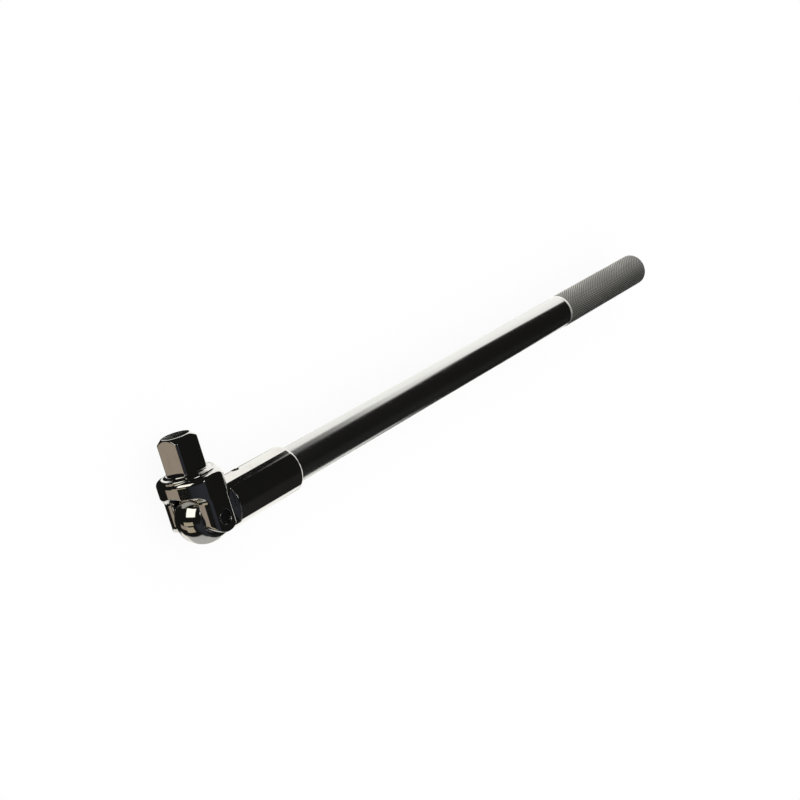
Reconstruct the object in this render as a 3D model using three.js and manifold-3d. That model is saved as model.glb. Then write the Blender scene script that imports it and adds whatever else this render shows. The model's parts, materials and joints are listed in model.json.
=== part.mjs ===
// Flex-head breaker bar, 3/4 inch square drive. Millimetres, +Z up.
// Working frame: pivot pin along Y through the origin, handle along +X, drive square along +Z.
// The finished model lies on the flat of one ear: handle along +X, drive square along +Y, pivot
// pin upright, and the origin at the centre of the drive square's end face.

import * as THREE from 'three';
import { mergeVertices } from 'three/addons/utils/BufferGeometryUtils.js';
import Module from 'manifold-3d';

const wasm = await Module();
wasm.setup();

// ---- driving dimensions -------------------------------------------------------------------
const GAP = 0.3;                 // running gap between neighbouring pieces
const ROUND = 64;                // segments round the large turned surfaces
const ROUND_SMALL = 28;          // segments round pins and bores
const THROUGH = 100;             // length of a cutter that goes right through

const DRIVE = 19.05;             // across the flats of the drive square
const DRIVE_BEVEL = 1.1;         // bevel on the square's long corners
const DRIVE_BASE_Z = 30.3;       // where the flats run out into the collar
const DRIVE_CORNER_Z = 51.0;     // top of the square's long corners
const DRIVE_END_Z = 54.2;        // end face
const DRIVE_END_R = 9.3;         // radius of the flat end face

const COLLAR_HALF_X = 18.6;      // collar plan is an oval
const COLLAR_HALF_Y = 23.8;
const COLLAR_BOTTOM_Z = 17.4;
const COLLAR_TOP_Z = 28.6;
const COLLAR_SHOULDER_R = 3.4;
const YOKE_HALF_Y = 22;          // outer flats of the two ears

const BOSS_R = 17.9;             // round seat between collar and square
const BOSS_TOP_Z = 29.9;
const BOSS_EDGE_R = 1.2;
const BOSS_FILLET_R = 1.9;

const EAR_HALF_X = 9.8;          // flat front and back of the ears
const EAR_FLAT_HALF_Y = 14.4;    // where the flat front starts to curve back
const EAR_EDGE_HALF_X = 7.1;     // half width of the outer flat
const EAR_BOTTOM_Z = -9.5;
const EAR_END_R = 11;
const EAR_NECK_FILLET_R = 6.0;   // hollow between ear and collar
const SLOT_HALF_Y = 12.3;
const SLOT_ROOF_R = 19.0;        // arched roof of the slot, round the X axis

const PIN_R = 4.3;
const PIN_HALF_LENGTH = YOKE_HALF_Y - 0.4;
const PIN_CHAMFER = 0.6;

const NOSE_R = 17.4;             // ball end of the neck
const NOSE_CENTRE_X = 1.0;
const NECK_R = 16.5;
const TONGUE_HALF_Y = SLOT_HALF_Y - GAP;
const TONGUE_SHOULDER_X = 19.2;  // flats of the tongue end here
const SOCKET_END_X = 79.2;
const SOCKET_CHAMFER = 1.3;
const SOCKET_FLOOR_X = 24.5;

const TUBE_R = 12.75;
const TUBE_BORE_R = 9.4;
const TUBE_START_X = SOCKET_FLOOR_X + 0.7;
const GRIP_START_X = 421.4;
const GRIP_END_X = 546.2;
const GRIP_R = 13.25;
const GRIP_BORE_R = 11.6;
const GRIP_CHAMFER = 0.9;
const GRIP_END_BEVEL = 1.8;

const LOCK_X = 37.5;             // spring ball that keeps the handle in the socket
const LOCK_HOLE_R = 2.7;
const LOCK_BALL_R = 2.4;
const LOCK_BALL_Z = 12.3;
const LOCK_BORE_FLOOR_Z = -6.8;
const LOCK_TRAVEL = 2.2;

const BALL_R = 3.1;              // socket retaining ball, on the far flat of the square
const BALL_Z = 43;
const BALL_PROUD = 1.3;          // also how far it can be pressed in
const BALL_BORE_R = 3.4;
const BALL_LIP_R = 3.0;
const BALL_LIP_DEPTH = 0.45;
const BALL_BORE_FLOOR_Y = -5.6;

const PLUNGER_R = 3.0;           // friction plunger that presses on the neck's ball end
const PLUNGER_TIP_Z = NOSE_R + GAP;
const PLUNGER_LENGTH = 7;
const PLUNGER_BORE_TOP_Z = 36;
const PLUNGER_TRAVEL = 1;

const CHROME = { color: 0xd9dcdf, roughness: 0.12, metalness: 1 };
const SATIN_CHROME = { color: 0xcfd2d4, roughness: 0.28, metalness: 1 };
const GRIP_STEEL = { color: 0x8f9088, roughness: 0.55, metalness: 1 };
const HARD_STEEL = { color: 0xa9adb2, roughness: 0.3, metalness: 1 };
const SPRING_STEEL = { color: 0x6f7276, roughness: 0.4, metalness: 1 };

// ---- solids -------------------------------------------------------------------------------
function signedVolume(positions, triangles) {
  const a = new THREE.Vector3();
  const b = new THREE.Vector3();
  const c = new THREE.Vector3();
  let sum = 0;
  for (let i = 0; i < triangles.length; i += 3) {
    a.fromArray(positions, triangles[i] * 3);
    b.fromArray(positions, triangles[i + 1] * 3);
    c.fromArray(positions, triangles[i + 2] * 3);
    sum += a.dot(b.cross(c));
  }
  return sum / 6;
}

function solid(geometry) {
  const plain = geometry.clone();
  plain.deleteAttribute('normal');
  plain.deleteAttribute('uv');
  const merged = mergeVertices(plain, 1e-4);
  const index = merged.index.array;
  const triangles = [];
  for (let i = 0; i < index.length; i += 3) {
    const [p, q, r] = [index[i], index[i + 1], index[i + 2]];
    if (p !== q && q !== r && r !== p) triangles.push(p, q, r);
  }
  const positions = new Float32Array(merged.attributes.position.array);
  if (signedVolume(positions, triangles) < 0) triangles.reverse();
  return new wasm.Manifold(new wasm.Mesh({
    numProp: 3,
    vertProperties: positions,
    triVerts: new Uint32Array(triangles),
  }));
}

function bufferGeometry(body) {
  const mesh = body.getMesh();
  const geometry = new THREE.BufferGeometry();
  geometry.setAttribute('position', new THREE.BufferAttribute(mesh.vertProperties, 3));
  geometry.setIndex(new THREE.BufferAttribute(mesh.triVerts, 1));
  return geometry;
}

// Points are [radius, position along the axis].
function turned(points, axis, segments = ROUND) {
  const profile = points.map(([r, h]) => new THREE.Vector2(r, h));
  const geometry = new THREE.LatheGeometry(profile, segments);
  if (axis === 'x') geometry.rotateZ(-Math.PI / 2);
  if (axis === 'z') geometry.rotateX(Math.PI / 2);
  return geometry;
}

function arc(centreR, centreH, radius, fromDegrees, toDegrees, steps) {
  const points = [];
  for (let i = 0; i <= steps; i += 1) {
    const angle = THREE.MathUtils.degToRad(fromDegrees + ((toDegrees - fromDegrees) * i) / steps);
    points.push([centreR + radius * Math.cos(angle), centreH + radius * Math.sin(angle)]);
  }
  return points;
}

function block(x0, x1, y0, y1, z0, z1) {
  const geometry = new THREE.BoxGeometry(x1 - x0, y1 - y0, z1 - z0);
  geometry.translate((x0 + x1) / 2, (y0 + y1) / 2, (z0 + z1) / 2);
  return geometry;
}

function rod(radius, from, to, axis, segments = ROUND_SMALL) {
  return turned([[0, from], [radius, from], [radius, to], [0, to]], axis, segments);
}

// A side outline in X and Z, extruded over the whole width in Y.
function sideExtrusion(shape, halfY, curveSegments = 16) {
  const geometry = new THREE.ExtrudeGeometry(shape, {
    depth: 2 * halfY, bevelEnabled: false, curveSegments,
  });
  geometry.rotateX(Math.PI / 2);
  geometry.translate(0, halfY, 0);
  return geometry;
}

class Helix extends THREE.Curve {
  constructor(radius, length, turns) {
    super();
    this.radius = radius;
    this.length = length;
    this.turns = turns;
  }

  getPoint(t, target = new THREE.Vector3()) {
    const angle = t * this.turns * 2 * Math.PI;
    return target.set(this.radius * Math.cos(angle), this.radius * Math.sin(angle), t * this.length);
  }
}

// A coil spring along +Z from z = 0, overall length including the wire.
function coilSpring(coilRadius, wireRadius, overall, turns) {
  const wire = new THREE.Shape();
  wire.absarc(0, 0, wireRadius, 0, 2 * Math.PI, false);
  const geometry = new THREE.ExtrudeGeometry(wire, {
    steps: turns * 14,
    curveSegments: 3,
    extrudePath: new Helix(coilRadius, overall - 2 * wireRadius, turns),
  });
  geometry.translate(0, 0, wireRadius);
  return geometry;
}

// ---- drive head ---------------------------------------------------------------------------
function driveSquare() {
  const half = DRIVE / 2;
  const cut = half - DRIVE_BEVEL;
  const outline = [
    [half, -cut], [half, cut], [cut, half], [-cut, half],
    [-half, cut], [-half, -cut], [-cut, -half], [cut, -half],
  ];
  const shape = new THREE.Shape(outline.map(([x, y]) => new THREE.Vector2(x, y)));
  const start = COLLAR_TOP_Z - 2;
  const prism = new THREE.ExtrudeGeometry(shape, { depth: DRIVE_END_Z - start, bevelEnabled: false });
  prism.translate(0, 0, start);
  const cornerR = Math.hypot(half, cut);
  const turnedEnd = turned([
    [0, start - 1], [cornerR + 1, start - 1], [cornerR + 1, DRIVE_CORNER_Z - 0.8],
    [cornerR, DRIVE_CORNER_Z], [DRIVE_END_R, DRIVE_END_Z - 0.25],
    [DRIVE_END_R - 0.3, DRIVE_END_Z], [0, DRIVE_END_Z],
  ], 'z');
  return solid(prism).intersect(solid(turnedEnd));
}

function boss() {
  const filletR = DRIVE / 2 * Math.SQRT2 + 0.3;
  return solid(turned([
    [0, COLLAR_TOP_Z - 3],
    [BOSS_R, COLLAR_TOP_Z - 3],
    ...arc(BOSS_R - BOSS_EDGE_R, BOSS_TOP_Z - BOSS_EDGE_R, BOSS_EDGE_R, 0, 90, 4),
    ...arc(filletR + BOSS_FILLET_R * 0.5, BOSS_TOP_Z + BOSS_FILLET_R, BOSS_FILLET_R, 270, 200, 5),
    [0, BOSS_TOP_Z + BOSS_FILLET_R * 0.66],
  ], 'z'));
}

function collar() {
  const oval = turned([
    [0, EAR_BOTTOM_Z],
    [COLLAR_HALF_X, EAR_BOTTOM_Z],
    ...arc(COLLAR_HALF_X - COLLAR_SHOULDER_R, COLLAR_TOP_Z - COLLAR_SHOULDER_R, COLLAR_SHOULDER_R, 0, 90, 8),
    [0, COLLAR_TOP_Z],
  ], 'z');
  oval.scale(1, COLLAR_HALF_Y / COLLAR_HALF_X, 1);

  // Side outline: full collar, then a hollow in to the ears.
  const earX = EAR_HALF_X - 0.1;
  const r = EAR_NECK_FILLET_R;
  const side = new THREE.Shape();
  side.moveTo(-COLLAR_HALF_X - 1, COLLAR_TOP_Z + 1);
  side.lineTo(-COLLAR_HALF_X - 1, COLLAR_BOTTOM_Z);
  side.lineTo(-earX - r, COLLAR_BOTTOM_Z);
  side.absarc(-earX - r, COLLAR_BOTTOM_Z - r, r, Math.PI / 2, 0, true);
  side.lineTo(earX, COLLAR_BOTTOM_Z - r);
  side.absarc(earX + r, COLLAR_BOTTOM_Z - r, r, Math.PI, Math.PI / 2, true);
  side.lineTo(COLLAR_HALF_X + 1, COLLAR_BOTTOM_Z);
  side.lineTo(COLLAR_HALF_X + 1, COLLAR_TOP_Z + 1);
  side.closePath();
  return solid(oval).intersect(solid(sideExtrusion(side, YOKE_HALF_Y, 8)));
}

function ears() {
  const plan = new THREE.Shape();
  const halfY = YOKE_HALF_Y;
  plan.moveTo(-EAR_HALF_X, -EAR_FLAT_HALF_Y);
  plan.quadraticCurveTo(-EAR_HALF_X, -(EAR_FLAT_HALF_Y + halfY) / 2, -EAR_EDGE_HALF_X, -halfY);
  plan.lineTo(EAR_EDGE_HALF_X, -halfY);
  plan.quadraticCurveTo(EAR_HALF_X, -(EAR_FLAT_HALF_Y + halfY) / 2, EAR_HALF_X, -EAR_FLAT_HALF_Y);
  plan.lineTo(EAR_HALF_X, EAR_FLAT_HALF_Y);
  plan.quadraticCurveTo(EAR_HALF_X, (EAR_FLAT_HALF_Y + halfY) / 2, EAR_EDGE_HALF_X, halfY);
  plan.lineTo(-EAR_EDGE_HALF_X, halfY);
  plan.quadraticCurveTo(-EAR_HALF_X, (EAR_FLAT_HALF_Y + halfY) / 2, -EAR_HALF_X, EAR_FLAT_HALF_Y);
  plan.closePath();
  const bottom = EAR_BOTTOM_Z - 1;
  const prism = new THREE.ExtrudeGeometry(plan, {
    depth: COLLAR_BOTTOM_Z + 2 - bottom, bevelEnabled: false, curveSegments: 6,
  });
  prism.translate(0, 0, bottom);

  // Side outline: a strap with a round lower end.
  const centreZ = EAR_BOTTOM_Z + EAR_END_R;
  const side = new THREE.Shape();
  side.moveTo(-EAR_END_R, COLLAR_BOTTOM_Z + 1);
  side.lineTo(-EAR_END_R, centreZ);
  side.absarc(0, centreZ, EAR_END_R, Math.PI, 2 * Math.PI, false);
  side.lineTo(EAR_END_R, COLLAR_BOTTOM_Z + 1);
  side.closePath();
  return solid(prism).intersect(solid(sideExtrusion(side, YOKE_HALF_Y, 14)));
}

function slotCutter() {
  const walls = block(-THROUGH, THROUGH, -SLOT_HALF_Y, SLOT_HALF_Y, -THROUGH, 0);
  const roof = rod(SLOT_ROOF_R, -THROUGH, THROUGH, 'x', ROUND);
  const width = block(-THROUGH, THROUGH, -SLOT_HALF_Y, SLOT_HALF_Y, -THROUGH, THROUGH);
  return solid(walls).add(solid(roof).intersect(solid(width)));
}

function ballBoreCutter() {
  const face = DRIVE / 2;
  const bore = turned([
    [0, BALL_BORE_FLOOR_Y], [BALL_BORE_R, BALL_BORE_FLOOR_Y],
    [BALL_BORE_R, face - BALL_LIP_DEPTH], [BALL_LIP_R, face - BALL_LIP_DEPTH],
    [BALL_LIP_R, face + 1], [0, face + 1],
  ], 'y', ROUND_SMALL);
  bore.translate(0, 0, BALL_Z);
  return solid(bore);
}

function driveHead() {
  const plungerBore = rod(PLUNGER_R + GAP, 0, PLUNGER_BORE_TOP_Z, 'z');
  const pinHole = rod(PIN_R + GAP, -THROUGH, THROUGH, 'y', ROUND_SMALL);
  return collar()
    .add(ears())
    .add(boss())
    .add(driveSquare())
    .subtract(slotCutter())
    .subtract(solid(pinHole))
    .subtract(solid(plungerBore))
    .subtract(ballBoreCutter());
}

// ---- small parts of the head --------------------------------------------------------------
function retainingBall() {
  const ball = new THREE.SphereGeometry(BALL_R, 24, 14);
  ball.translate(0, DRIVE / 2 + BALL_PROUD - BALL_R, BALL_Z);
  return solid(ball);
}

function retainingSpring() {
  const coilR = 2.4;
  const wireR = 0.4;
  const ballCentreY = DRIVE / 2 + BALL_PROUD - BALL_R;
  const bottom = BALL_BORE_FLOOR_Y + GAP;
  const top = ballCentreY - Math.sqrt(BALL_R ** 2 - (coilR - wireR) ** 2) - GAP;
  const spring = coilSpring(coilR, wireR, top - bottom, 5);
  spring.rotateX(-Math.PI / 2);
  spring.translate(0, bottom, BALL_Z);
  return solid(spring);
}

function frictionPlunger() {
  const shoulderZ = PLUNGER_TIP_Z + 1.6;
  return solid(turned([
    [0, PLUNGER_TIP_Z], [1.3, PLUNGER_TIP_Z + 0.25], [2.3, PLUNGER_TIP_Z + 0.8],
    [PLUNGER_R, shoulderZ], [PLUNGER_R, PLUNGER_TIP_Z + PLUNGER_LENGTH],
    [0, PLUNGER_TIP_Z + PLUNGER_LENGTH],
  ], 'z', ROUND_SMALL));
}

// This spring and the lock spring stop short of the piece they push, by its travel.
function frictionSpring() {
  const bottom = PLUNGER_TIP_Z + PLUNGER_LENGTH + PLUNGER_TRAVEL + GAP;
  const spring = coilSpring(2.4, 0.45, PLUNGER_BORE_TOP_Z - GAP - bottom, 6);
  spring.translate(0, 0, bottom);
  return solid(spring);
}

function pivotPin() {
  const end = PIN_HALF_LENGTH;
  const rim = PIN_R - PIN_CHAMFER;
  return solid(turned([
    [0, -end], [rim, -end], [PIN_R, -end + PIN_CHAMFER],
    [PIN_R, end - PIN_CHAMFER], [rim, end], [0, end],
  ], 'y', ROUND_SMALL));
}

// ---- neck and handle ----------------------------------------------------------------------
function neckSocket() {
  const meetDegrees = THREE.MathUtils.radToDeg(Math.asin(NECK_R / NOSE_R));
  const nose = [];
  const steps = 16;
  for (let i = 0; i <= steps; i += 1) {
    const angle = THREE.MathUtils.degToRad(180 + ((meetDegrees - 180) * i) / steps);
    const radius = i === 0 ? 0 : NOSE_R * Math.sin(angle);
    nose.push([radius, NOSE_CENTRE_X + NOSE_R * Math.cos(angle)]);
  }
  const boreR = TUBE_R + GAP;
  const body = turned([
    ...nose,
    [NECK_R, SOCKET_END_X - SOCKET_CHAMFER],
    [NECK_R - SOCKET_CHAMFER * 0.8, SOCKET_END_X],
    [boreR + 0.6, SOCKET_END_X],
    [boreR, SOCKET_END_X - 0.6],
    [boreR, SOCKET_FLOOR_X + 1.5],
    [boreR - 1.5, SOCKET_FLOOR_X],
    [0, SOCKET_FLOOR_X],
  ], 'x');
  const nearSide = block(-THROUGH, TONGUE_SHOULDER_X, -THROUGH, -TONGUE_HALF_Y, -THROUGH, THROUGH);
  const farSide = block(-THROUGH, TONGUE_SHOULDER_X, TONGUE_HALF_Y, THROUGH, -THROUGH, THROUGH);
  const pinHole = rod(PIN_R + GAP, -THROUGH, THROUGH, 'y');
  const lockHole = rod(LOCK_HOLE_R, 0, THROUGH, 'z');
  lockHole.translate(LOCK_X, 0, 0);
  return solid(body)
    .subtract(solid(nearSide))
    .subtract(solid(farSide))
    .subtract(solid(pinHole))
    .subtract(solid(lockHole));
}

function handleTube() {
  const underGripR = GRIP_BORE_R - GAP;
  const stepX = GRIP_START_X - GAP;
  const endX = GRIP_END_X - 1.2;
  const body = turned([
    [TUBE_BORE_R, TUBE_START_X],
    [TUBE_R - 1, TUBE_START_X],
    [TUBE_R, TUBE_START_X + 1],
    [TUBE_R, stepX],
    [underGripR, stepX],
    [underGripR, endX],
    [TUBE_BORE_R, endX],
    [TUBE_BORE_R, TUBE_START_X],
  ], 'x');
  const lockHole = rod(LOCK_HOLE_R, 0, THROUGH, 'z');
  lockHole.translate(LOCK_X, 0, 0);
  return solid(body).subtract(solid(lockHole));
}

function knurledGrip() {
  return solid(turned([
    [GRIP_BORE_R, GRIP_START_X],
    [GRIP_R - GRIP_CHAMFER, GRIP_START_X],
    [GRIP_R, GRIP_START_X + GRIP_CHAMFER],
    [GRIP_R, GRIP_END_X - GRIP_END_BEVEL],
    [GRIP_R - GRIP_END_BEVEL * 0.7, GRIP_END_X],
    [GRIP_BORE_R - 0.8, GRIP_END_X],
    [GRIP_BORE_R - 0.8, GRIP_END_X - 0.8],
    [GRIP_BORE_R, GRIP_END_X - 0.8],
    [GRIP_BORE_R, GRIP_START_X],
  ], 'x'));
}

function endPlug() {
  const plugR = TUBE_BORE_R - GAP;
  const length = 16;
  return solid(turned([
    [0, GRIP_END_X - length],
    [plugR - 1, GRIP_END_X - length],
    [plugR, GRIP_END_X - length + 1],
    [plugR, GRIP_END_X - 0.6],
    [plugR - 0.6, GRIP_END_X],
    [0, GRIP_END_X],
  ], 'x', 64));
}

function socketPlug() {
  const plugR = TUBE_BORE_R - GAP;
  const startX = TUBE_START_X;
  const endX = LOCK_X + 12;
  const body = turned([
    [0, startX], [plugR - 0.8, startX], [plugR, startX + 0.8],
    [plugR, endX - 0.8], [plugR - 0.8, endX], [0, endX],
  ], 'x', 64);
  const bore = rod(LOCK_HOLE_R, LOCK_BORE_FLOOR_Z, THROUGH, 'z');
  bore.translate(LOCK_X, 0, 0);
  return solid(body).subtract(solid(bore));
}

function lockBall() {
  const ball = new THREE.SphereGeometry(LOCK_BALL_R, 24, 14);
  ball.translate(LOCK_X, 0, LOCK_BALL_Z);
  return solid(ball);
}

function lockSpring() {
  const bottom = LOCK_BORE_FLOOR_Z + GAP;
  const top = LOCK_BALL_Z - LOCK_BALL_R - LOCK_TRAVEL - GAP;
  const spring = coilSpring(1.9, 0.35, top - bottom, 8);
  spring.translate(LOCK_X, 0, bottom);
  return solid(spring);
}

// ---- assembly -----------------------------------------------------------------------------
const PIECES = [
  ['drive_head', driveHead, CHROME],
  ['retaining_ball', retainingBall, HARD_STEEL],
  ['retaining_spring', retainingSpring, SPRING_STEEL],
  ['friction_plunger', frictionPlunger, HARD_STEEL],
  ['friction_spring', frictionSpring, SPRING_STEEL],
  ['pivot_pin', pivotPin, HARD_STEEL],
  ['neck_socket', neckSocket, CHROME],
  ['socket_plug', socketPlug, HARD_STEEL],
  ['lock_ball', lockBall, HARD_STEEL],
  ['lock_spring', lockSpring, SPRING_STEEL],
  ['handle_tube', handleTube, SATIN_CHROME],
  ['knurled_grip', knurledGrip, GRIP_STEEL],
  ['end_plug', endPlug, GRIP_STEEL],
];

const breakerBar = new THREE.Group();
breakerBar.name = 'breaker_bar';
for (const [name, make, finish] of PIECES) {
  const geometry = bufferGeometry(make());
  geometry.translate(0, 0, -DRIVE_END_Z);
  geometry.rotateX(-Math.PI / 2);
  const material = new THREE.MeshStandardMaterial(finish);
  material.name = name;
  const mesh = new THREE.Mesh(geometry, material);
  mesh.name = name;
  breakerBar.add(mesh);
}

export default breakerBar;
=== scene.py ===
"""Looks for the flex-head breaker bar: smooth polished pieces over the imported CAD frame.

Shapes are worked out in millimetres in the pivot frame: the pivot pin runs along Y through
the origin, the handle along +X and the drive square along +Z. They are placed in metres in the
CAD frame, where the tool lies on the flat of one ear, the drive square points along +Y and the
origin is the centre of its end face.
"""

import json
import math

import bpy
import numpy as np
from mathutils import Matrix, Vector

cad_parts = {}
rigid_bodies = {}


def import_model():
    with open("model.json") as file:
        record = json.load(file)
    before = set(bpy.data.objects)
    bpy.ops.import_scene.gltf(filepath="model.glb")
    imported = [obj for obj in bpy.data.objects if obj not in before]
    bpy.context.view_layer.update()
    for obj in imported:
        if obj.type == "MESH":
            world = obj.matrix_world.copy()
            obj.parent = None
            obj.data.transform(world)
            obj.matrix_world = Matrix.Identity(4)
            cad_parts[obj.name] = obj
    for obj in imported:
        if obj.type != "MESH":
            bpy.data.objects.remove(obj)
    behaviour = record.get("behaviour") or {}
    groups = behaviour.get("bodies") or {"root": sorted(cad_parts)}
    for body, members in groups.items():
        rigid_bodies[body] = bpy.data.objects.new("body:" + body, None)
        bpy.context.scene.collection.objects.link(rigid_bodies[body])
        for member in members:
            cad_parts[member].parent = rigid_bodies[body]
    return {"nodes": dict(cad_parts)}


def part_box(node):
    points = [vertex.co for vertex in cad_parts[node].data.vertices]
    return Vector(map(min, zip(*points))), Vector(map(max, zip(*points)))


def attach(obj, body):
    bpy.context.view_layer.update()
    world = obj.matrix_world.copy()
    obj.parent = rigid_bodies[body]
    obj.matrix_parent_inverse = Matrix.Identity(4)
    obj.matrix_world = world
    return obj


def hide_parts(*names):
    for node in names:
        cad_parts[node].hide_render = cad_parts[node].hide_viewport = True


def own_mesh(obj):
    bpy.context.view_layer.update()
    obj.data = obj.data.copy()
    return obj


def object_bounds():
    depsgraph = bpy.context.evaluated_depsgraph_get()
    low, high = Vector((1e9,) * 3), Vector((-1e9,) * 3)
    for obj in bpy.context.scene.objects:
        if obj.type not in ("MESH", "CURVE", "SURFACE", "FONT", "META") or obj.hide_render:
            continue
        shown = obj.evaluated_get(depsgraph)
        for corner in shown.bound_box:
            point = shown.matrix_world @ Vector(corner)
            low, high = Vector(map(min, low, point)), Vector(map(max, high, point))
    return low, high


for leftover in list(bpy.data.objects):
    bpy.data.objects.remove(leftover)

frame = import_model()
CAD_BOX = [list(corner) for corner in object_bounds()]

MM = 0.001
GAP = 0.3                        # running gap between neighbouring pieces

# ---- sizes taken from the CAD frame --------------------------------------------------------
pin_low, pin_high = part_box("pivot_pin")
PIVOT = (pin_low + pin_high) / 2
PIN_R = (pin_high.x - pin_low.x) / 2 / MM
PIN_HALF_LENGTH = (pin_high.z - pin_low.z) / 2 / MM


def cad_box_mm(node):
    """Lowest and highest corner of a CAD node, in millimetres in the pivot frame."""
    low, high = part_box(node)
    low, high = (low - PIVOT) / MM, (high - PIVOT) / MM
    return Vector((low.x, -high.z, low.y)), Vector((high.x, -low.z, high.y))


HEAD_LOW, HEAD_HIGH = cad_box_mm("drive_head")
NECK_LOW, NECK_HIGH = cad_box_mm("neck_socket")
TUBE_LOW, TUBE_HIGH = cad_box_mm("handle_tube")
GRIP_LOW, GRIP_HIGH = cad_box_mm("knurled_grip")
PLUG_LOW, PLUG_HIGH = cad_box_mm("end_plug")
BALL_LOW, BALL_HIGH = cad_box_mm("retaining_ball")
LOCK_LOW, LOCK_HIGH = cad_box_mm("lock_ball")
SPRING_LOW, SPRING_HIGH = cad_box_mm("retaining_spring")

# ---- drive head, millimetres ---------------------------------------------------------------
DRIVE_HALF = 19.05 / 2
DRIVE_BEVEL = 1.1
DRIVE_CORNER_Z = 51.0
DRIVE_END_Z = HEAD_HIGH.z
DRIVE_END_R = 9.3
COLLAR_HALF_X = HEAD_HIGH.x
COLLAR_HALF_Y = 23.8
COLLAR_BOTTOM_Z = 17.4
COLLAR_TOP_Z = 28.6
COLLAR_SHOULDER_R = 3.4
YOKE_HALF_Y = HEAD_HIGH.y
BOSS_R = 17.9
BOSS_TOP_Z = 29.9
BOSS_EDGE_R = 1.2
BOSS_FILLET_R = 1.9
BOSS_RING_SHARE = 0.66           # rise of the ring round the square, as a share of the fillet
BOSS_ROOT = 3                    # how far the boss and the square reach down into the collar
SQUARE_ROOT = 2
EAR_HALF_X = 9.8
EAR_FLAT_HALF_Y = 14.4
EAR_BLEND_R = 12.0
EAR_BOTTOM_Z = HEAD_LOW.z
EAR_END_R = 11.0
EAR_NECK_FILLET_R = 6.0
SLOT_HALF_Y = 12.3
SLOT_ROOF_R = 19.0
PLUNGER_BORE_R = 3.3
PLUNGER_BORE_TOP_Z = 36.0
BALL_Z = (BALL_LOW.z + BALL_HIGH.z) / 2
BALL_R = (BALL_HIGH.z - BALL_LOW.z) / 2
BALL_BORE_R = 3.4
BALL_LIP_R = 3.0
BALL_LIP_DEPTH = 0.45
BALL_LIP_EDGE_R = 0.15
BALL_BORE_FLOOR_Y = -5.6

# ---- neck and handle, millimetres ----------------------------------------------------------
NOSE_R = NECK_HIGH.z
NOSE_CENTRE_X = NECK_LOW.x + NOSE_R
NOSE_FILLET_R = 1.5
NECK_R = 16.5
TONGUE_HALF_Y = SLOT_HALF_Y - GAP
TONGUE_SHOULDER_X = 19.2
SOCKET_END_X = NECK_HIGH.x
SOCKET_BEVEL_RUN = 1.8           # length of the end bevel along the socket
SOCKET_BEVEL_DROP = 0.85         # and how far it comes in
SOCKET_FLOOR_X = 24.5
TUBE_R = TUBE_HIGH.y
TUBE_BORE_R = 9.4
GRIP_R = GRIP_HIGH.y
GRIP_BORE_R = 11.6
GRIP_CHAMFER = 0.9
GRIP_RIM_DROP = 0.15             # the plain rim at the grip's start lies just below the crests
GRIP_RIM_WIDTH = 0.5
GRIP_RIM_GAP = 0.2               # between the rim and the first row of the knurl
GRIP_END_BEVEL = 1.8
GRIP_END_DROP_SHARE = 0.7        # how far the end bevel comes in, as a share of its length
GRIP_END_LIP = 0.8               # the lip that hides the edge of the end plug
LOCK_X = (LOCK_LOW.x + LOCK_HIGH.x) / 2
LOCK_R = (LOCK_HIGH.z - LOCK_LOW.z) / 2
LOCK_HOLE_R = 2.7
SPRING_WIRE_R = 0.4
SPRING_TURNS = 5
SPRING_WIRE_STEPS = 12           # mesh steps round the wire
SPRING_TURN_STEPS = 32           # and along each turn

# ---- fine detail ---------------------------------------------------------------------------
HEAD_CELL = 0.36                 # grid step of the formed surfaces
NECK_CELL = 0.46
NET_MARGIN = 2                   # empty cells round a formed surface
SETTLE_ROUNDS = 6                # rounds that move its points onto the true surface
SETTLE_REACH = 0.02              # how far apart the field is read for a slope
NORMAL_REACH = 0.04
LEAST_SLOPE = 0.05               # squared, so that a flat field moves no point far
CRISP_R = 0.3                    # rounding left on polished edges
SOFT_R = 0.6
KNURL_STARTS = 42                # diamonds round the grip
KNURL_PITCH_X = 2.9              # diamond length along the grip
KNURL_DEPTH = 0.5
KNURL_STEPS = 6                  # mesh steps per diamond, an even number
KNURL_CREST = 0.85               # share of the full diamond height left after wear
KNURL_FADE_IN = 0.7              # length over which the diamonds begin
KNURL_FADE_OUT = 1.2             # and end
PLAIN_RIM = 2.0                  # the knurl attribute where the metal is turned and bright
ROUND_STEPS = 6                  # mesh steps across a rounded edge
TURN_STEPS = 160                 # mesh steps round the turned pieces
SHARP_DEGREES = 30               # a turned surface creases above this angle
CUT_SHARP_DEGREES = 40           # and a knurled or coiled one above this


# ---- distance fields -----------------------------------------------------------------------
# Each field is negative inside the shape. Points are arrays whose last axis is x, y, z.
def both(a, b, radius=0.0):
    """Where a and b overlap, with the edge between them rounded."""
    if radius == 0:
        return np.maximum(a, b)
    outside = np.hypot(np.maximum(a + radius, 0), np.maximum(b + radius, 0))
    return np.minimum(-radius, np.maximum(a, b)) + outside


def either(a, b, radius=0.0):
    """a and b together, with the hollow between them filled to a radius."""
    if radius == 0:
        return np.minimum(a, b)
    inside = np.hypot(np.maximum(radius - a, 0), np.maximum(radius - b, 0))
    return np.maximum(radius, np.minimum(a, b)) - inside


def cut(a, b, radius=0.0):
    """a with b taken out of it."""
    return both(a, -b, radius)


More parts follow.
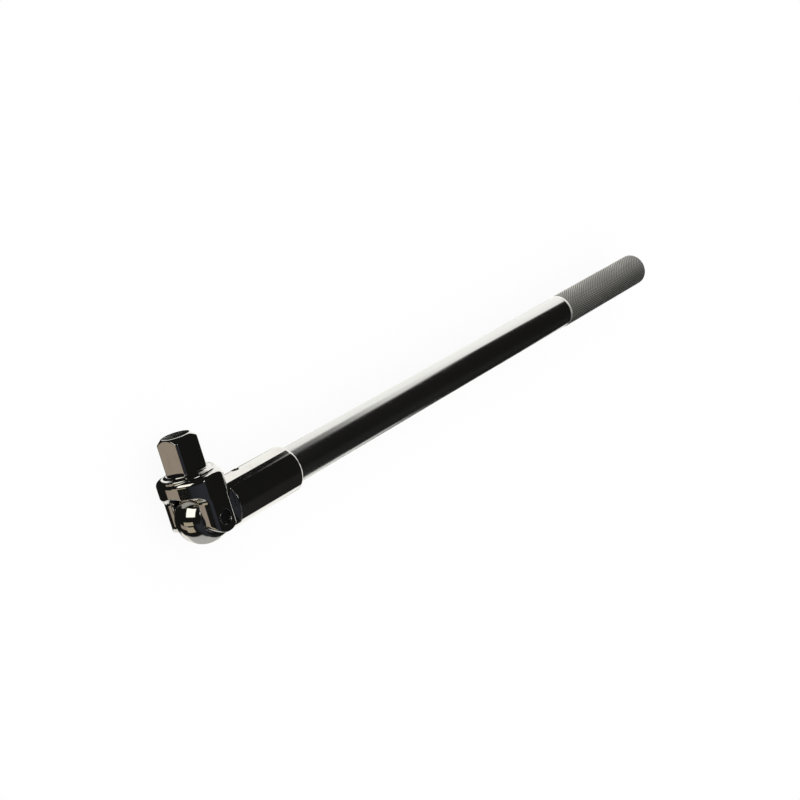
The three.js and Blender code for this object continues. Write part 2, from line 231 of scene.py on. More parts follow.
def drive_square(x, y, z):
    flats = both(np.abs(x) - DRIVE_HALF, np.abs(y) - DRIVE_HALF)
    bevel_distance = (2 * DRIVE_HALF - DRIVE_BEVEL) / math.sqrt(2)
    prism = both(flats, (np.abs(x) + np.abs(y)) / math.sqrt(2) - bevel_distance, CRISP_R)
    corner_r = math.hypot(DRIVE_HALF, DRIVE_HALF - DRIVE_BEVEL)
    rise, run = DRIVE_END_Z - DRIVE_CORNER_Z, corner_r - DRIVE_END_R
    slope = math.hypot(rise, run)
    radius = np.hypot(x, y)
    cone = ((radius - corner_r) * rise + (z - DRIVE_CORNER_Z) * run) / slope
    end = both(cone, z - DRIVE_END_Z, CRISP_R)
    return both(both(prism, end, CRISP_R), COLLAR_TOP_Z - SQUARE_ROOT - z)


def boss(x, y, z):
    radius = np.hypot(x, y)
    seat = both(radius - BOSS_R, z - BOSS_TOP_Z, BOSS_EDGE_R)
    corner_r = DRIVE_HALF * math.sqrt(2) + GAP
    ring = both(radius - corner_r, z - BOSS_TOP_Z - BOSS_FILLET_R * BOSS_RING_SHARE, CRISP_R)
    return both(either(seat, ring, BOSS_FILLET_R), COLLAR_TOP_Z - BOSS_ROOT - z)


def ears(x, y, z):
    """A strap with a round lower end, whose front and back curve in towards the outer flats."""
    plan_x = np.abs(x) - EAR_HALF_X + EAR_BLEND_R
    plan = np.hypot(plan_x, np.maximum(np.abs(y) - EAR_FLAT_HALF_Y, 0)) - EAR_BLEND_R
    centre_z = EAR_BOTTOM_Z + EAR_END_R
    strap = np.hypot(x, np.minimum(z - centre_z, 0)) - EAR_END_R
    return both(plan, strap, SOFT_R)


def collar_and_ears(x, y, z):
    radius = np.hypot(x, y * COLLAR_HALF_X / COLLAR_HALF_Y)
    oval = both(radius - COLLAR_HALF_X, z - COLLAR_TOP_Z, COLLAR_SHOULDER_R)
    side = either(COLLAR_BOTTOM_Z - z, ears(x, y, z), EAR_NECK_FILLET_R)
    return both(oval, side, SOFT_R)


def head_field(points):
    x, y, z = points[..., 0], points[..., 1], points[..., 2]
    yoke = both(collar_and_ears(x, y, z), np.abs(y) - YOKE_HALF_Y, SOFT_R)
    slot = both(np.abs(y) - SLOT_HALF_Y, np.hypot(y, np.maximum(z, 0)) - SLOT_ROOF_R)
    yoke = cut(yoke, slot, SOFT_R)
    yoke = cut(yoke, np.hypot(x, z) - PIN_R - GAP, CRISP_R)
    body = either(yoke, boss(x, y, z), CRISP_R)
    body = either(body, drive_square(x, y, z), CRISP_R)
    across = np.hypot(x, y)
    plunger_bore = both(across - PLUNGER_BORE_R, z - PLUNGER_BORE_TOP_Z)
    body = cut(body, both(plunger_bore, -z), CRISP_R)
    ball_axis = np.hypot(x, z - BALL_Z)
    lip_y = DRIVE_HALF - BALL_LIP_DEPTH
    bore = both(both(ball_axis - BALL_BORE_R, BALL_BORE_FLOOR_Y - y), y - lip_y)
    mouth = both(ball_axis - BALL_LIP_R, BALL_BORE_FLOOR_Y - y)
    return cut(body, either(bore, mouth), BALL_LIP_EDGE_R)


def neck_field(points):
    x, y, z = points[..., 0], points[..., 1], points[..., 2]
    radius = np.hypot(y, z)
    nose = np.sqrt((x - NOSE_CENTRE_X) ** 2 + radius**2) - NOSE_R
    shank = both(radius - NECK_R, NOSE_CENTRE_X - x)
    body = either(nose, shank, NOSE_FILLET_R)
    past_bevel = x - SOCKET_END_X + SOCKET_BEVEL_RUN
    bevel = (radius - NECK_R) * SOCKET_BEVEL_RUN + past_bevel * SOCKET_BEVEL_DROP
    bevel = bevel / math.hypot(SOCKET_BEVEL_RUN, SOCKET_BEVEL_DROP)
    body = both(body, bevel, CRISP_R)
    body = both(body, x - SOCKET_END_X, CRISP_R)
    tongue = either(TONGUE_SHOULDER_X - x, np.abs(y) - TONGUE_HALF_Y, SOFT_R)
    body = both(body, tongue, SOFT_R)
    body = cut(body, both(radius - TUBE_R - GAP, SOCKET_FLOOR_X - x), SOFT_R)
    body = cut(body, np.hypot(x, z) - PIN_R - GAP, CRISP_R)
    lock_hole = both(np.hypot(x - LOCK_X, y) - LOCK_HOLE_R, -z)
    return cut(body, lock_hole, CRISP_R)


# ---- meshing -------------------------------------------------------------------------------
def surface_net(field, low, high, cell):
    """The zero surface of field as vertices and outward quads, one vertex per crossed cell."""
    counts = [int(math.ceil((high[i] - low[i]) / cell)) + 2 * NET_MARGIN + 1 for i in range(3)]
    start = np.array([low[i] - NET_MARGIN * cell for i in range(3)])
    axes = [start[i] + cell * np.arange(counts[i]) for i in range(3)]
    y, z = np.meshgrid(axes[1], axes[2], indexing="ij")
    values = np.empty(counts)
    for i, x in enumerate(axes[0]):
        values[i] = field(np.stack([np.full_like(y, x), y, z], axis=-1))
    cells = tuple(count - 1 for count in counts)
    total = int(np.prod(cells))
    sums = np.zeros((total, 3))
    hits = np.zeros(total)
    rings = []
    for axis in range(3):
        step = np.zeros(3, int)
        step[axis] = 1
        first = np.take(values, range(counts[axis] - 1), axis)
        second = np.take(values, range(1, counts[axis]), axis)
        lower = np.argwhere((first < 0) != (second < 0))
        a = values[tuple(lower.T)]
        b = values[tuple((lower + step).T)]
        crossing = lower + step * (a / (a - b))[:, None]
        u, v = (axis + 1) % 3, (axis + 2) % 3
        ring = []
        for back_u, back_v in ((0, 0), (1, 0), (1, 1), (0, 1)):
            corner = lower.copy()
            corner[:, u] -= back_u
            corner[:, v] -= back_v
            flat = np.ravel_multi_index(tuple(corner.T), cells)
            hits += np.bincount(flat, minlength=total)
            for k in range(3):
                sums[:, k] += np.bincount(flat, crossing[:, k], minlength=total)
            ring.append(flat)
        ring = np.stack(ring, axis=1)
        leaving = a >= 0
        ring[leaving] = ring[leaving][:, ::-1]
        rings.append(ring)
    used = np.flatnonzero(hits)
    number = np.full(total, -1)
    number[used] = np.arange(len(used))
    vertices = start + cell * sums[used] / hits[used][:, None]
    return vertices, number[np.concatenate(rings)]


def gradient(field, points, reach):
    """Slope of the field at the points."""
    slopes = []
    for axis in range(3):
        step = np.zeros(3)
        step[axis] = reach
        slopes.append((field(points + step) - field(points - step)) / (2 * reach))
    return np.stack(slopes, axis=-1)


def formed_piece(name, field, low, high, cell):
    """A piece with smooth mirror-quality normals from a distance field."""
    vertices, quads = surface_net(field, low, high, cell)
    for _ in range(SETTLE_ROUNDS):
        slope = gradient(field, vertices, SETTLE_REACH)
        length = np.maximum((slope**2).sum(axis=1), LEAST_SLOPE)
        move = np.clip(field(vertices) / length, -0.5 * cell, 0.5 * cell)
        vertices = vertices - slope * move[:, None]
    normals = gradient(field, vertices, NORMAL_REACH)
    normals /= np.linalg.norm(normals, axis=1)[:, None]
    piece = new_piece(name, vertices, quads.tolist())
    piece.data.shade_smooth()
    piece.data.normals_split_custom_set_from_vertices(in_cad_axes(normals).tolist())
    return piece


def in_cad_axes(vectors):
    """Turns vectors from the pivot frame into the CAD frame, where the tool lies on its side."""
    return np.stack([vectors[..., 0], vectors[..., 2], -vectors[..., 1]], axis=-1)


def new_piece(name, vertices, faces):
    """A mesh object from millimetres in the pivot frame, placed in the CAD frame."""
    mesh = bpy.data.meshes.new(name)
    placed = in_cad_axes(np.asarray(vertices)) * MM + np.array(PIVOT)
    mesh.from_pydata(placed.tolist(), [], faces)
    mesh.update()
    piece = bpy.data.objects.new(name, mesh)
    bpy.context.scene.collection.objects.link(piece)
    return piece


def arc(centre_r, centre_h, radius, from_degrees, to_degrees, steps):
    """Profile points [radius, position] on an arc."""
    points = []
    for i in range(steps + 1):
        angle = math.radians(from_degrees + (to_degrees - from_degrees) * i / steps)
        points.append([centre_r + radius * math.cos(angle), centre_h + radius * math.sin(angle)])
    return points


def along_axis(radius, height, angle, axis):
    """A point at a radius and angle round an axis through the origin."""
    u, v = radius * math.cos(angle), radius * math.sin(angle)
    if axis == "x":
        return (height, u, v)
    if axis == "y":
        return (v, height, u)
    return (u, v, height)


def turned_piece(name, profile, axis, centre=(0, 0, 0)):
    """A lathe piece. The profile is closed, or it starts and ends on the axis."""
    closed = profile[0][0] > 0
    vertices = []
    rows = []
    for radius, height in profile:
        if radius == 0:
            rows.append([len(vertices)] * TURN_STEPS)
            vertices.append(along_axis(0, height, 0, axis))
            continue
        rows.append([len(vertices) + i for i in range(TURN_STEPS)])
        for i in range(TURN_STEPS):
            vertices.append(along_axis(radius, height, 2 * math.pi * i / TURN_STEPS, axis))
    if closed:
        rows.append(rows[0])
    faces = []
    for row, following in zip(rows, rows[1:]):
        for i in range(TURN_STEPS):
            j = (i + 1) % TURN_STEPS
            ring = [row[i], row[j], following[j], following[i]]
            face = [v for k, v in enumerate(ring) if v != ring[k - 1]]
            if len(face) > 2:
                faces.append(face)
    piece = new_piece(name, np.array(vertices) + np.array(centre), faces)
    finish_normals(piece, SHARP_DEGREES)
    return piece


def finish_normals(piece, sharp_degrees):
    """Faces outwards, smooth shading, with creases where the surface turns sharply."""
    mesh = piece.data
    volume = sum(face.center.dot(face.normal) * face.area for face in mesh.polygons)
    if volume < 0:
        mesh.flip_normals()
    mesh.shade_smooth()
    mesh.set_sharp_from_angle(angle=math.radians(sharp_degrees))


def knurl_height(turn, travel):
    """Height of the knurl, 0 in a groove to 1 on a crest, from two crossing sets of grooves."""
    first = abs(2 * ((turn + travel) % 1.0) - 1)
    second = abs(2 * ((turn - travel) % 1.0) - 1)
    return min(1 - first, 1 - second)


def knurled_piece(name):
    """The grip sleeve: cut diamonds outside, a plain bore inside, bevelled at both ends."""
    round_steps = KNURL_STARTS * KNURL_STEPS
    length = GRIP_HIGH.x - GRIP_LOW.x
    bevel_start, bevel_end = GRIP_CHAMFER + GRIP_RIM_WIDTH + GRIP_RIM_GAP, GRIP_END_BEVEL
    step = KNURL_PITCH_X / KNURL_STEPS
    count = int((length - bevel_start - bevel_end) / step)
    travel = [bevel_start + (length - bevel_start - bevel_end) * i / count for i in range(count + 1)]
    rim_r = GRIP_R - GRIP_RIM_DROP
    chamfer = arc(rim_r - GRIP_CHAMFER, 0, GRIP_CHAMFER, -90, 0, ROUND_STEPS)
    plain_start = [
        (GRIP_BORE_R, 0),
        *[(radius, x + GRIP_CHAMFER) for radius, x in chamfer],
        (rim_r, GRIP_CHAMFER + GRIP_RIM_WIDTH),
    ]
    plain_end = [
        (GRIP_R - KNURL_DEPTH - bevel_end * GRIP_END_DROP_SHARE, length),
        (GRIP_BORE_R - GRIP_END_LIP, length),
        (GRIP_BORE_R - GRIP_END_LIP, length - GRIP_END_LIP),
        (GRIP_BORE_R, length - GRIP_END_LIP),
    ]
    rows = [(radius, x, PLAIN_RIM) for radius, x in plain_start]
    rows += [(GRIP_R, x, None) for x in travel]
    rows += [(radius, x, 0.0) for radius, x in plain_end]
    vertices = []
    heights = []
    for radius, x, plain in rows:
        for i in range(round_steps):
            height = plain
            at = radius
            if plain is None:
                full = knurl_height(i / KNURL_STEPS, x / KNURL_PITCH_X)
                height = min(full, KNURL_CREST) / KNURL_CREST
                begun = (x - bevel_start) / KNURL_FADE_IN
                left = (length - bevel_end - x) / KNURL_FADE_OUT
                height *= max(min(begun, left, 1.0), 0.0)
                at = radius - KNURL_DEPTH * (1 - height)
            vertices.append(along_axis(at, GRIP_LOW.x + x, 2 * math.pi * i / round_steps, "x"))
            heights.append(height)
    faces = []
    total = len(rows)
    for r in range(total):
        for i in range(round_steps):
            j = (i + 1) % round_steps
            a, b = r * round_steps + i, r * round_steps + j
            c, d = ((r + 1) % total) * round_steps + j, ((r + 1) % total) * round_steps + i
            faces.append([a, b, c, d])
    piece = new_piece(name, np.array(vertices), faces)
    finish_normals(piece, CUT_SHARP_DEGREES)
    attribute = piece.data.attributes.new("knurl", "FLOAT", "POINT")
    attribute.data.foreach_set("value", np.array(heights, dtype=np.float32))
    return piece


# ---- pieces --------------------------------------------------------------------------------
def pin_profile():
    end = PIN_HALF_LENGTH
    rim = 0.6
    return [
        [0, -end], *arc(PIN_R - rim, -end + rim, rim, 270, 360, 5),
        *arc(PIN_R - rim, end - rim, rim, 0, 90, 5), [0, end],
    ]


def ball_profile(radius):
    points = arc(0, 0, radius, -90, 90, 48)
    points[0][0] = points[-1][0] = 0
    return points


def tube_profile():
    """The handle tube, stepped down where it goes under the grip. It has no hole for the lock ball."""
    under_grip = GRIP_BORE_R - GAP
    step_x = GRIP_LOW.x - GAP
    edge = 0.5
    return [
        [TUBE_BORE_R, TUBE_LOW.x], [TUBE_R - 1, TUBE_LOW.x],
        *arc(TUBE_R - 1, TUBE_LOW.x + 1, 1, 300, 360, 4),
        *arc(TUBE_R - edge, step_x - edge, edge, 0, 90, 4),
        [under_grip, step_x], [under_grip, TUBE_HIGH.x], [TUBE_BORE_R, TUBE_HIGH.x],
    ]


def plug_profile():
    radius = PLUG_HIGH.y
    edge = 0.6
    return [
        [0, PLUG_LOW.x], [radius - 1, PLUG_LOW.x], [radius, PLUG_LOW.x + 1],
        *arc(radius - edge, PLUG_HIGH.x - edge, edge, 0, 90, 5), [0, PLUG_HIGH.x],
    ]


def middle(low, high):
    return tuple((low + high) / 2)


def coil_piece(name, low, high, wire_r, turns):
    """A coil spring along y that fills the box between two corners."""
    coil_r = (high.x - low.x) / 2 - wire_r
    centre_x, _, centre_z = middle(low, high)
    wire_steps = SPRING_WIRE_STEPS
    steps = turns * SPRING_TURN_STEPS
    rise = high.y - low.y - 2 * wire_r
    vertices = []
    for i in range(steps + 1):
        turn = 2 * math.pi * i / SPRING_TURN_STEPS
        y = low.y + wire_r + rise * i / steps
        for k in range(wire_steps):
            round_wire = 2 * math.pi * k / wire_steps
            radius = coil_r + wire_r * math.cos(round_wire)
            vertices.append((centre_x + radius * math.cos(turn), y + wire_r * math.sin(round_wire),
                             centre_z + radius * math.sin(turn)))
    last = steps * wire_steps
    faces = [list(range(wire_steps)), [last + k for k in reversed(range(wire_steps))]]
    for i in range(steps):
        for k in range(wire_steps):
            here, beside = i * wire_steps + k, i * wire_steps + (k + 1) % wire_steps
            faces.append([here, here + wire_steps, beside + wire_steps, beside])
    piece = new_piece(name, np.array(vertices), faces)
    finish_normals(piece, CUT_SHARP_DEGREES)
    return piece


def stands_for(piece, body, node):
    """piece is shown in place of a CAD node and moves with its body."""
    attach(piece, body)
    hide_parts(node)


head = formed_piece("polished_head", head_field, HEAD_LOW, HEAD_HIGH, HEAD_CELL)
neck = formed_piece("polished_neck", neck_field, NECK_LOW, NECK_HIGH, NECK_CELL)
pin = turned_piece("ground_pin", pin_profile(), "y")
tube = turned_piece("chromed_tube", tube_profile(), "x")
grip = knurled_piece("diamond_grip")
end_plug = turned_piece("pressed_end_plug", plug_profile(), "x")
ball = turned_piece("socket_ball", ball_profile(BALL_R), "y", middle(BALL_LOW, BALL_HIGH))
lock_ball = turned_piece("handle_lock_ball", ball_profile(LOCK_R), "z", middle(LOCK_LOW, LOCK_HIGH))
stands_for(head, "head", "drive_head")
stands_for(pin, "head", "pivot_pin")
stands_for(ball, "retainer", "retaining_ball")
stands_for(neck, "handle", "neck_socket")
stands_for(tube, "handle", "handle_tube")
stands_for(grip, "handle", "knurled_grip")
stands_for(end_plug, "handle", "end_plug")
stands_for(lock_ball, "lock", "lock_ball")

# The spring behind the retaining ball gets a mesh of its own.
ball_spring = coil_piece("ball_spring", SPRING_LOW, SPRING_HIGH, SPRING_WIRE_R, SPRING_TURNS)
stands_for(ball_spring, "head", "retaining_spring")
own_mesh(ball_spring)


# ---- material helpers ----------------------------------------------------------------------
NOISE_ROUGHNESS = 0.55


class Nodes:
    """A short way to write a node tree."""

    def __init__(self, tree):
        self.tree = tree
        tree.nodes.clear()

    def add(self, kind, inputs=None, **settings):
        node = self.tree.nodes.new(kind)
        for key, value in settings.items():
            setattr(node, key, value)
        for key, value in (inputs or {}).items():
            self.put(value, node.inputs[key])
        return node

    def put(self, value, socket):
        if isinstance(value, bpy.types.NodeSocket):
            self.tree.links.new(value, socket)
        else:
            socket.default_value = value

    def math(self, operation, a, b=0.0):
        node = self.add("ShaderNodeMath", operation=operation)
        for socket, value in zip(node.inputs, (a, b)):
            self.put(value, socket)
        return node.outputs[0]

    def remap(self, value, low, high, to_low, to_high, smooth=False):
        kind = "SMOOTHSTEP" if smooth else "LINEAR"
        node = self.add("ShaderNodeMapRange", interpolation_type=kind, inputs={
            "Value": value, "From Min": low, "From Max": high, "To Min": to_low, "To Max": to_high,
        })
        return node.outputs[0]

    def blend(self, share, first, second):
        node = self.add("ShaderNodeMix", data_type="RGBA", clamp_factor=True)
        self.put(share, node.inputs["Factor"])
        self.put(first, node.inputs["A"])
        self.put(second, node.inputs["B"])
        return node.outputs["Result"]

    def stretched(self, scale):
        """Object coordinates, stretched by a scale for each axis."""
        place = self.add("ShaderNodeTexCoord").outputs["Object"]
        return self.add("ShaderNodeMapping", inputs={"Vector": place, "Scale": scale}).outputs[0]

    def noise(self, vector, scale, detail):
        return self.add("ShaderNodeTexNoise", inputs={
            "Vector": vector, "Scale": scale, "Detail": detail, "Roughness": NOISE_ROUGHNESS,
        }).outputs["Fac"]

    def bump(self, height, strength, distance):
        return self.add("ShaderNodeBump", inputs={
            "Height": height, "Strength": strength, "Distance": distance,
        }).outputs["Normal"]


def metal(name):
    """A new material, its nodes and its metallic shader."""
    material = bpy.data.materials.new(name)
    material.use_nodes = True
    nodes = Nodes(material.node_tree)
    shader = nodes.add("ShaderNodeBsdfPrincipled", inputs={"Metallic": 1.0})
    output = nodes.add("ShaderNodeOutputMaterial")
    nodes.tree.links.new(shader.outputs[0], output.inputs["Surface"])
    return material, nodes, shader


def fine_scratches(nodes, scale, stretch):
    """Sparse hairlines, 1 on a line and 0 between them."""
    place = nodes.stretched(stretch)
    warped = nodes.noise(place, scale, 2.0)
    line = nodes.math("ABSOLUTE", nodes.math("SUBTRACT", warped, 0.5))
    return nodes.remap(line, 0.0, 0.006, 1.0, 0.0, smooth=True)


# ---- materials -----------------------------------------------------------------------------
EVEN = (1.0, 1.0, 1.0)                 # a pattern that is not stretched
CHROME_CLEAN = (0.80, 0.785, 0.755, 1)
CHROME_HANDLED = (0.72, 0.70, 0.665, 1)
TUBE_LINE = (0.74, 0.735, 0.72, 1)
TUBE_BRIGHT = (0.80, 0.795, 0.78, 1)
KNURL_DULL = (0.26, 0.257, 0.235, 1)
# Crest colour of the knurl: partly real wear, partly a painted highlight.
KNURL_WEAR_AND_HIGHLIGHT = (0.90, 0.895, 0.84, 1)
# Painted shade for the knurl's grooves, near black.
KNURL_GROOVE_SHADE = (0.035, 0.034, 0.028, 1)
KNURL_METALLIC = 0.45                  # the knurl is partly matt plate and painted groove shade
RIM_METALLIC = 0.1
RIM_ROUGHNESS = 0.35
STEEL_STAINED = (0.34, 0.33, 0.36, 1)
STEEL_CLEAN = (0.52, 0.51, 0.53, 1)
WIRE_DARK = (0.22, 0.22, 0.23, 1)
WIRE_LIGHT = (0.40, 0.40, 0.41, 1)


def polished_chrome():
    """Buffed chrome plate: a slight waviness, hairlines and a thin film of handling marks."""
    material, nodes, shader = metal("polished_chrome")
    even = nodes.stretched(EVEN)
    smears = nodes.noise(even, 70.0, 4.0)
    hairlines = nodes.math("MAXIMUM", fine_scratches(nodes, 24.0, (1.0, 14.0, 2.0)),
                           fine_scratches(nodes, 30.0, (11.0, 1.5, 2.0)))
    film = nodes.remap(smears, 0.45, 0.75, 0.0, 1.0, smooth=True)
    rough = nodes.remap(film, 0.0, 1.0, 0.035, 0.085)
    rough = nodes.math("ADD", rough, nodes.math("MULTIPLY", hairlines, 0.06))
    nodes.put(rough, shader.inputs["Roughness"])
    nodes.put(nodes.blend(film, CHROME_CLEAN, CHROME_HANDLED), shader.inputs["Base Color"])
    nodes.put(nodes.bump(nodes.noise(even, 110.0, 2.0), 0.03, 0.0003), shader.inputs["Normal"])
    return material


def satin_chrome():
    """Drawn and plated tube: lengthwise lines, satin by the neck and brighter by the grip."""
    material, nodes, shader = metal("satin_chrome")
    drawn = nodes.noise(nodes.stretched((3.0, 900.0, 900.0)), 1.0, 3.0)
    patches = nodes.noise(nodes.stretched((14.0, 60.0, 60.0)), 1.0, 3.0)
    place = nodes.add("ShaderNodeTexCoord").outputs["Object"]
    along = nodes.add("ShaderNodeSeparateXYZ", inputs={0: place}).outputs["X"]
    satin = nodes.remap(along, TUBE_LOW.x * MM, GRIP_LOW.x * MM, 1.0, 0.0)
    rough = nodes.remap(satin, 0.0, 1.0, 0.10, 0.27)
    rough = nodes.math("ADD", rough, nodes.remap(patches, 0.35, 0.7, -0.02, 0.03))
    rough = nodes.math("ADD", rough, nodes.remap(drawn, 0.3, 0.7, -0.015, 0.02))
    nodes.put(rough, shader.inputs["Roughness"])
    nodes.put(nodes.blend(drawn, TUBE_LINE, TUBE_BRIGHT), shader.inputs["Base Color"])
    nodes.put(nodes.bump(drawn, 0.05, 0.00002), shader.inputs["Normal"])
    return material


def knurled_steel():
    """Matt plated steel with a cut knurl: painted shade in the grooves, and crests lightened partly by
    wear and partly by a painted highlight.

    It reads the knurl attribute. Where a piece has none, or it is 0, the metal gets the full painted
    groove shade, and that is so on the end plug and on the end of the grip.
    """
    material, nodes, shader = metal("knurled_steel")
    height = nodes.add("ShaderNodeAttribute", attribute_name="knurl").outputs["Fac"]
    wear = nodes.noise(nodes.stretched((25.0, 60.0, 60.0)), 1.0, 4.0)
    grain = nodes.noise(nodes.stretched(EVEN), 2600.0, 3.0)
    crest = nodes.remap(height, 0.45, 0.95, 0.0, 1.0, smooth=True)
    # Painted highlight and wear: the crests and the plain rim are lightened in patches.
    crest_wear_and_highlight = nodes.math("MULTIPLY", crest, nodes.remap(wear, 0.35, 0.65, 0.5, 1.0))
    groove = nodes.remap(height, 0.05, 0.55, 1.0, 0.0, smooth=True)
    plate = nodes.blend(crest_wear_and_highlight, KNURL_DULL, KNURL_WEAR_AND_HIGHLIGHT)
    # Painted shade: the grooves go near black, and so do the end plug and the end of the grip, where
    # the knurl attribute is 0.
    painted_groove_shade = nodes.math("MULTIPLY", groove, 0.92)
    nodes.put(nodes.blend(painted_groove_shade, plate, KNURL_GROOVE_SHADE), shader.inputs["Base Color"])
    rough = nodes.remap(crest_wear_and_highlight, 0.0, 1.0, 0.60, 0.40)
    rough = nodes.math("ADD", rough, nodes.remap(grain, 0.3, 0.7, -0.04, 0.05))
    rim = nodes.remap(height, 1.2, 1.8, 0.0, 1.0)
    nodes.put(nodes.remap(rim, 0.0, 1.0, rough, RIM_ROUGHNESS), shader.inputs["Roughness"])
    metallic = nodes.remap(rim, 0.0, 1.0, KNURL_METALLIC, RIM_METALLIC)
    nodes.put(metallic, shader.inputs["Metallic"])
    nodes.put(nodes.bump(grain, 0.25, 0.00003), shader.inputs["Normal"])
    return material


def ground_steel():
    """Ground and hardened steel, a little dark, with fine grinding rings."""
    material, nodes, shader = metal("ground_steel")
    rings = nodes.noise(nodes.stretched(EVEN), 900.0, 4.0)
    stain = nodes.noise(nodes.stretched(EVEN), 260.0, 4.0)
    nodes.put(nodes.blend(stain, STEEL_STAINED, STEEL_CLEAN), shader.inputs["Base Color"])
    nodes.put(nodes.remap(rings, 0.3, 0.7, 0.18, 0.34), shader.inputs["Roughness"])
    nodes.put(nodes.bump(rings, 0.12, 0.00002), shader.inputs["Normal"])
    return material


def spring_wire():
    """Drawn spring wire with a film of oil."""
    material, nodes, shader = metal("spring_wire")
    oil = nodes.noise(nodes.stretched(EVEN), 400.0, 3.0)
    nodes.put(nodes.blend(oil, WIRE_DARK, WIRE_LIGHT), shader.inputs["Base Color"])
    nodes.put(nodes.remap(oil, 0.35, 0.65, 0.22, 0.42), shader.inputs["Roughness"])
    shader.inputs["Coat Weight"].default_value = 0.4
    shader.inputs["Coat Roughness"].default_value = 0.15
    return material


def paint(piece, material):
    piece.data.materials.clear()
    piece.data.materials.append(material)


chrome = polished_chrome()
steel = ground_steel()
wire = spring_wire()
grip_steel = knurled_steel()
for polished in (head, neck):
    paint(polished, chrome)
paint(tube, satin_chrome())
for gripped in (grip, end_plug):
    paint(gripped, grip_steel)
for ground in (pin, ball, lock_ball, frame["nodes"]["friction_plunger"], frame["nodes"]["socket_plug"]):
    paint(ground, steel)
for sprung in (ball_spring, frame["nodes"]["friction_spring"], frame["nodes"]["lock_spring"]):
    paint(sprung, wire)


# ---- studio --------------------------------------------------------------------------------
# The tool lies on a white table in a dark room, between soft boxes. Each panel of light is
# (azimuth, elevation, half width, half height, edge softness) in degrees, then its colour. They
# are placed for the main camera's view, and other views see less of their light.
DARK = (0.0090, 0.0090, 0.0085)
PANELS = [
    ("white_table", (4, -29.3, 57, 23.7, 0.5), (1.06, 1.06, 1.03)),
    ("end_shade", (15.0, -50.0, 4.2, 3.0, 0.2), DARK),
    ("back_wall", (11, -1, 35.3, 7, 2.0), (1.00, 1.00, 0.98)),
    ("wall_end", (42.5, 5, 3.5, 10, 2.0), (0.95, 0.95, 0.92)),
    ("dark_gap", (-35, -13, 8, 14, 1.0), DARK),
    ("side_table", (-87, -22, 33, 28, 4), (0.46, 0.46, 0.44)),
    ("low_card", (-80, -56.5, 32, 9, 3), (0.90, 0.88, 0.84)),
    ("front_card", (-158.5, -40, 8.5, 18, 1.0), (0.32, 0.27, 0.22)),
    ("small_card", (-174.5, -17, 6.5, 21, 0.4), (0.42, 0.37, 0.27)),
    ("small_card_edge", (-151.8, -17, 10.5, 16, 0.4), (0.42, 0.37, 0.27)),
    ("soft_box", (142.5, -2.5, 17.5, 19.5, 2), (1.35, 1.32, 1.20)),
    ("top_box", (110, 70, 30, 8, 3), (1.60, 1.60, 1.55)),
    ("cool_ceiling", (-112, 46, 56, 34, 8), (0.026, 0.029, 0.036)),
    ("room_glow", (-42, 22, 12, 26, 8), (0.017, 0.017, 0.0165)),
]
FILL_LOW = 0.05                  # soft light on matt surfaces, from the side away from +Y
FILL_HIGH = 3.4                  # and from the +Y side
FILL_START = 0.2                 # the direction's Y where it begins to rise
BACKDROP = (1.0, 1.0, 1.0)


def panel_share(nodes, direction, azimuth, elevation, half_width, half_height, softness):
    """1 inside a panel of the sky and 0 outside it, with soft edges."""
    turn = math.radians(azimuth)
    x, y, z = (direction[axis] for axis in "XYZ")
    ahead = nodes.math("ADD", nodes.math("MULTIPLY", x, math.cos(turn)),
                       nodes.math("MULTIPLY", y, math.sin(turn)))
    aside = nodes.math("SUBTRACT", nodes.math("MULTIPLY", y, math.cos(turn)),
                       nodes.math("MULTIPLY", x, math.sin(turn)))
    across = nodes.math("ABSOLUTE", nodes.math("ARCTAN2", aside, ahead))
    above = nodes.math("SUBTRACT", nodes.math("ARCSINE", z), math.radians(elevation))
    shares = []
    for angle, half in ((across, half_width), (nodes.math("ABSOLUTE", above), half_height)):
        inner, outer = math.radians(half - softness), math.radians(half + softness)
        shares.append(nodes.remap(angle, inner, outer, 1.0, 0.0, smooth=True))
    return nodes.math("MULTIPLY", *shares)


def studio_sky():
    world = bpy.data.worlds.new("studio")
    bpy.context.scene.world = world
    world.use_nodes = True
    nodes = Nodes(world.node_tree)
    way = nodes.add("ShaderNodeTexCoord").outputs["Generated"]
    direction = nodes.add("ShaderNodeSeparateXYZ", inputs={0: way}).outputs
    colour = (*DARK, 1)
    for _, place, glow in PANELS:
        share = panel_share(nodes, direction, *place)
        colour = nodes.blend(share, colour, (*glow, 1))
    path = nodes.add("ShaderNodeLightPath").outputs
    fill = nodes.remap(direction["Y"], FILL_START, 1.0, FILL_LOW, FILL_HIGH)
    colour = nodes.blend(path["Is Diffuse Ray"], colour, fill)
    colour = nodes.blend(path["Is Camera Ray"], colour, (*BACKDROP, 1))
    background = nodes.add("ShaderNodeBackground", inputs={"Color": colour, "Strength": 1.0})
    output = nodes.add("ShaderNodeOutputWorld")
    nodes.tree.links.new(background.outputs[0], output.inputs["Surface"])


FLOOR_HALF = 6.0                 # metres
FLOOR_SHADE_REACH = 0.05
FLOOR_SHADE = 0.93               # brightness of the floor right beside the tool


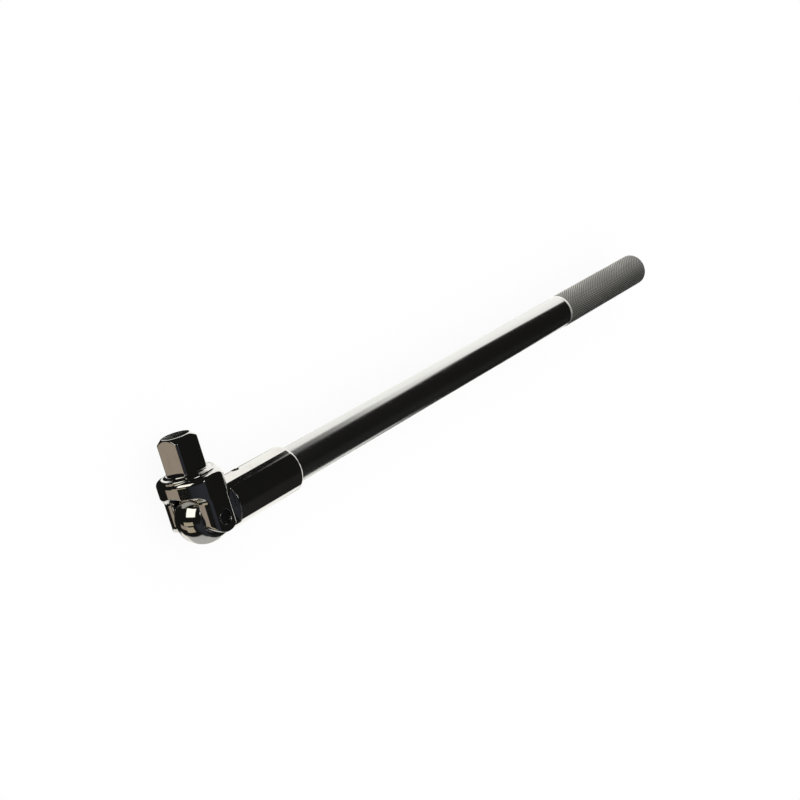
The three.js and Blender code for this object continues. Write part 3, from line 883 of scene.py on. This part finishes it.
def pale_floor():
    """A plain pale table top with a faint soft shade where the tool is close to it."""
    lowest = CAD_BOX[0][2]
    mesh = bpy.data.meshes.new("floor")
    half = FLOOR_HALF
    mesh.from_pydata([(-half, -half, lowest), (half, -half, lowest), (half, half, lowest),
                      (-half, half, lowest)], [], [(0, 1, 2, 3)])
    floor = bpy.data.objects.new("floor", mesh)
    bpy.context.scene.collection.objects.link(floor)
    material = bpy.data.materials.new("pale_table")
    material.use_nodes = True
    nodes = Nodes(material.node_tree)
    open_sky = nodes.add("ShaderNodeAmbientOcclusion", samples=16, only_local=False,
                         inputs={"Distance": FLOOR_SHADE_REACH}).outputs["AO"]
    shade = nodes.remap(open_sky, 0.0, 1.0, FLOOR_SHADE, 1.0)
    glow = nodes.add("ShaderNodeEmission", inputs={"Color": (1, 1, 1, 1), "Strength": shade})
    output = nodes.add("ShaderNodeOutputMaterial")
    nodes.tree.links.new(glow.outputs[0], output.inputs["Surface"])
    mesh.materials.append(material)
    floor.visible_glossy = False
    floor.visible_diffuse = False
    floor.visible_shadow = False


CAMERA_PLACE = Vector((-0.6046, 0.1941, 0.7265))
CAMERA_AIM = Vector((0.2066, -0.0523, 0.0))
CAMERA_ROLL = math.radians(85.222)     # the view is turned, so that the drive square points up
CAMERA_LENS = 70.41                    # millimetres
CAMERA_SENSOR = 36
CAMERA_NEAR = 0.01                     # metres
CAMERA_FAR = 50


def camera():
    data = bpy.data.cameras.new("camera")
    data.lens = CAMERA_LENS
    data.sensor_width = CAMERA_SENSOR
    data.clip_start = CAMERA_NEAR
    data.clip_end = CAMERA_FAR
    view = bpy.data.objects.new("camera", data)
    bpy.context.scene.collection.objects.link(view)
    level = (CAMERA_AIM - CAMERA_PLACE).to_track_quat("-Z", "Y").to_matrix().to_4x4()
    view.matrix_world = Matrix.Translation(CAMERA_PLACE) @ level @ Matrix.Rotation(CAMERA_ROLL, 4, "Z")
    bpy.context.scene.camera = view


studio_sky()
pale_floor()
camera()
bpy.context.scene.view_settings.view_transform = "Standard"

bpy.context.view_layer.update()
